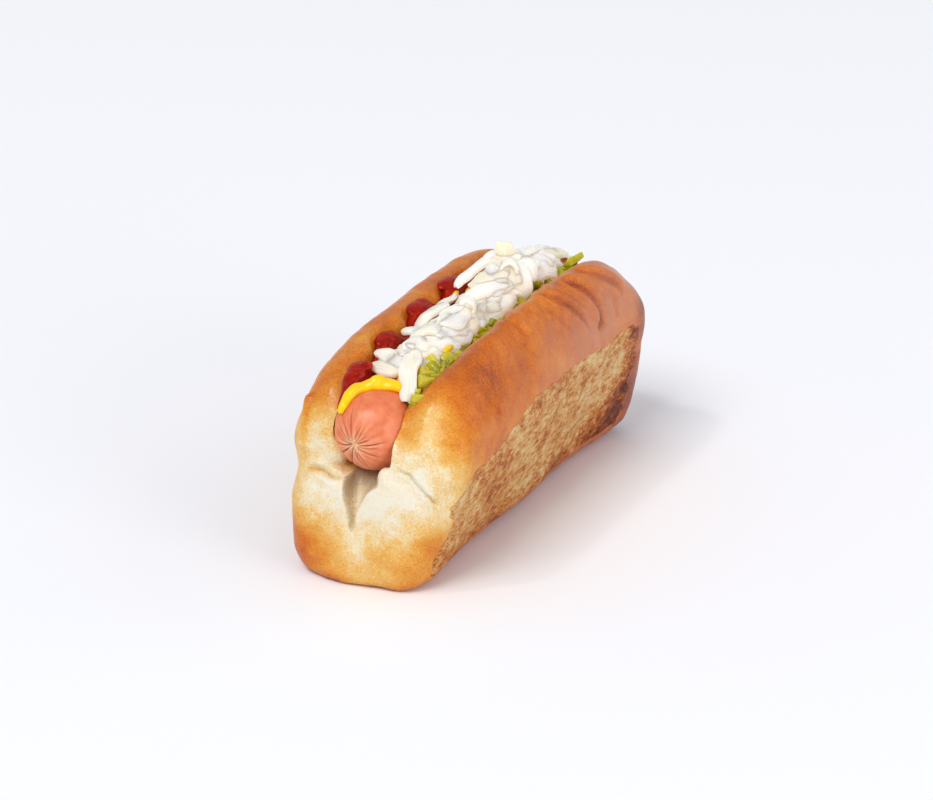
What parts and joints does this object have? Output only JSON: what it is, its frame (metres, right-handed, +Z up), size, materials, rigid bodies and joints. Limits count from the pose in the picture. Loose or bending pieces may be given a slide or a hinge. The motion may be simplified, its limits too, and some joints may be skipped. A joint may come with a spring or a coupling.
{
  "type": "hot dog in a split-top roll with toppings",
  "caption": "Frankfurter in a tall split-top roll with ketchup, mustard, green relish and a heap of chopped onion.",
  "frame": {"origin": "on the surface it stands on, under the middle of the roll", "axes": "+Y along the roll, +Z up, +X to the griddled side that shows"},
  "size_m": [0.06, 0.152, 0.0828],
  "materials": {
    "bread": "baked wheat bread: glossy orange-brown top crust, griddled golden sides, pale crumb",
    "frankfurter": "moist cooked sausage skin, pale pink-red, creased at the ends",
    "ketchup": "thick glossy tomato sauce",
    "mustard": "smooth glossy yellow mustard",
    "relish": "wet diced pickle, yellow-green and translucent",
    "onion": "raw white onion, moist and translucent"
  },
  "bodies": {
    "root": {"bun": "bread", "sausage": "frankfurter", "ketchup": "ketchup", "mustard": "mustard", "relish": "relish", "onions": "onion"}
  },
  "joints": []
}
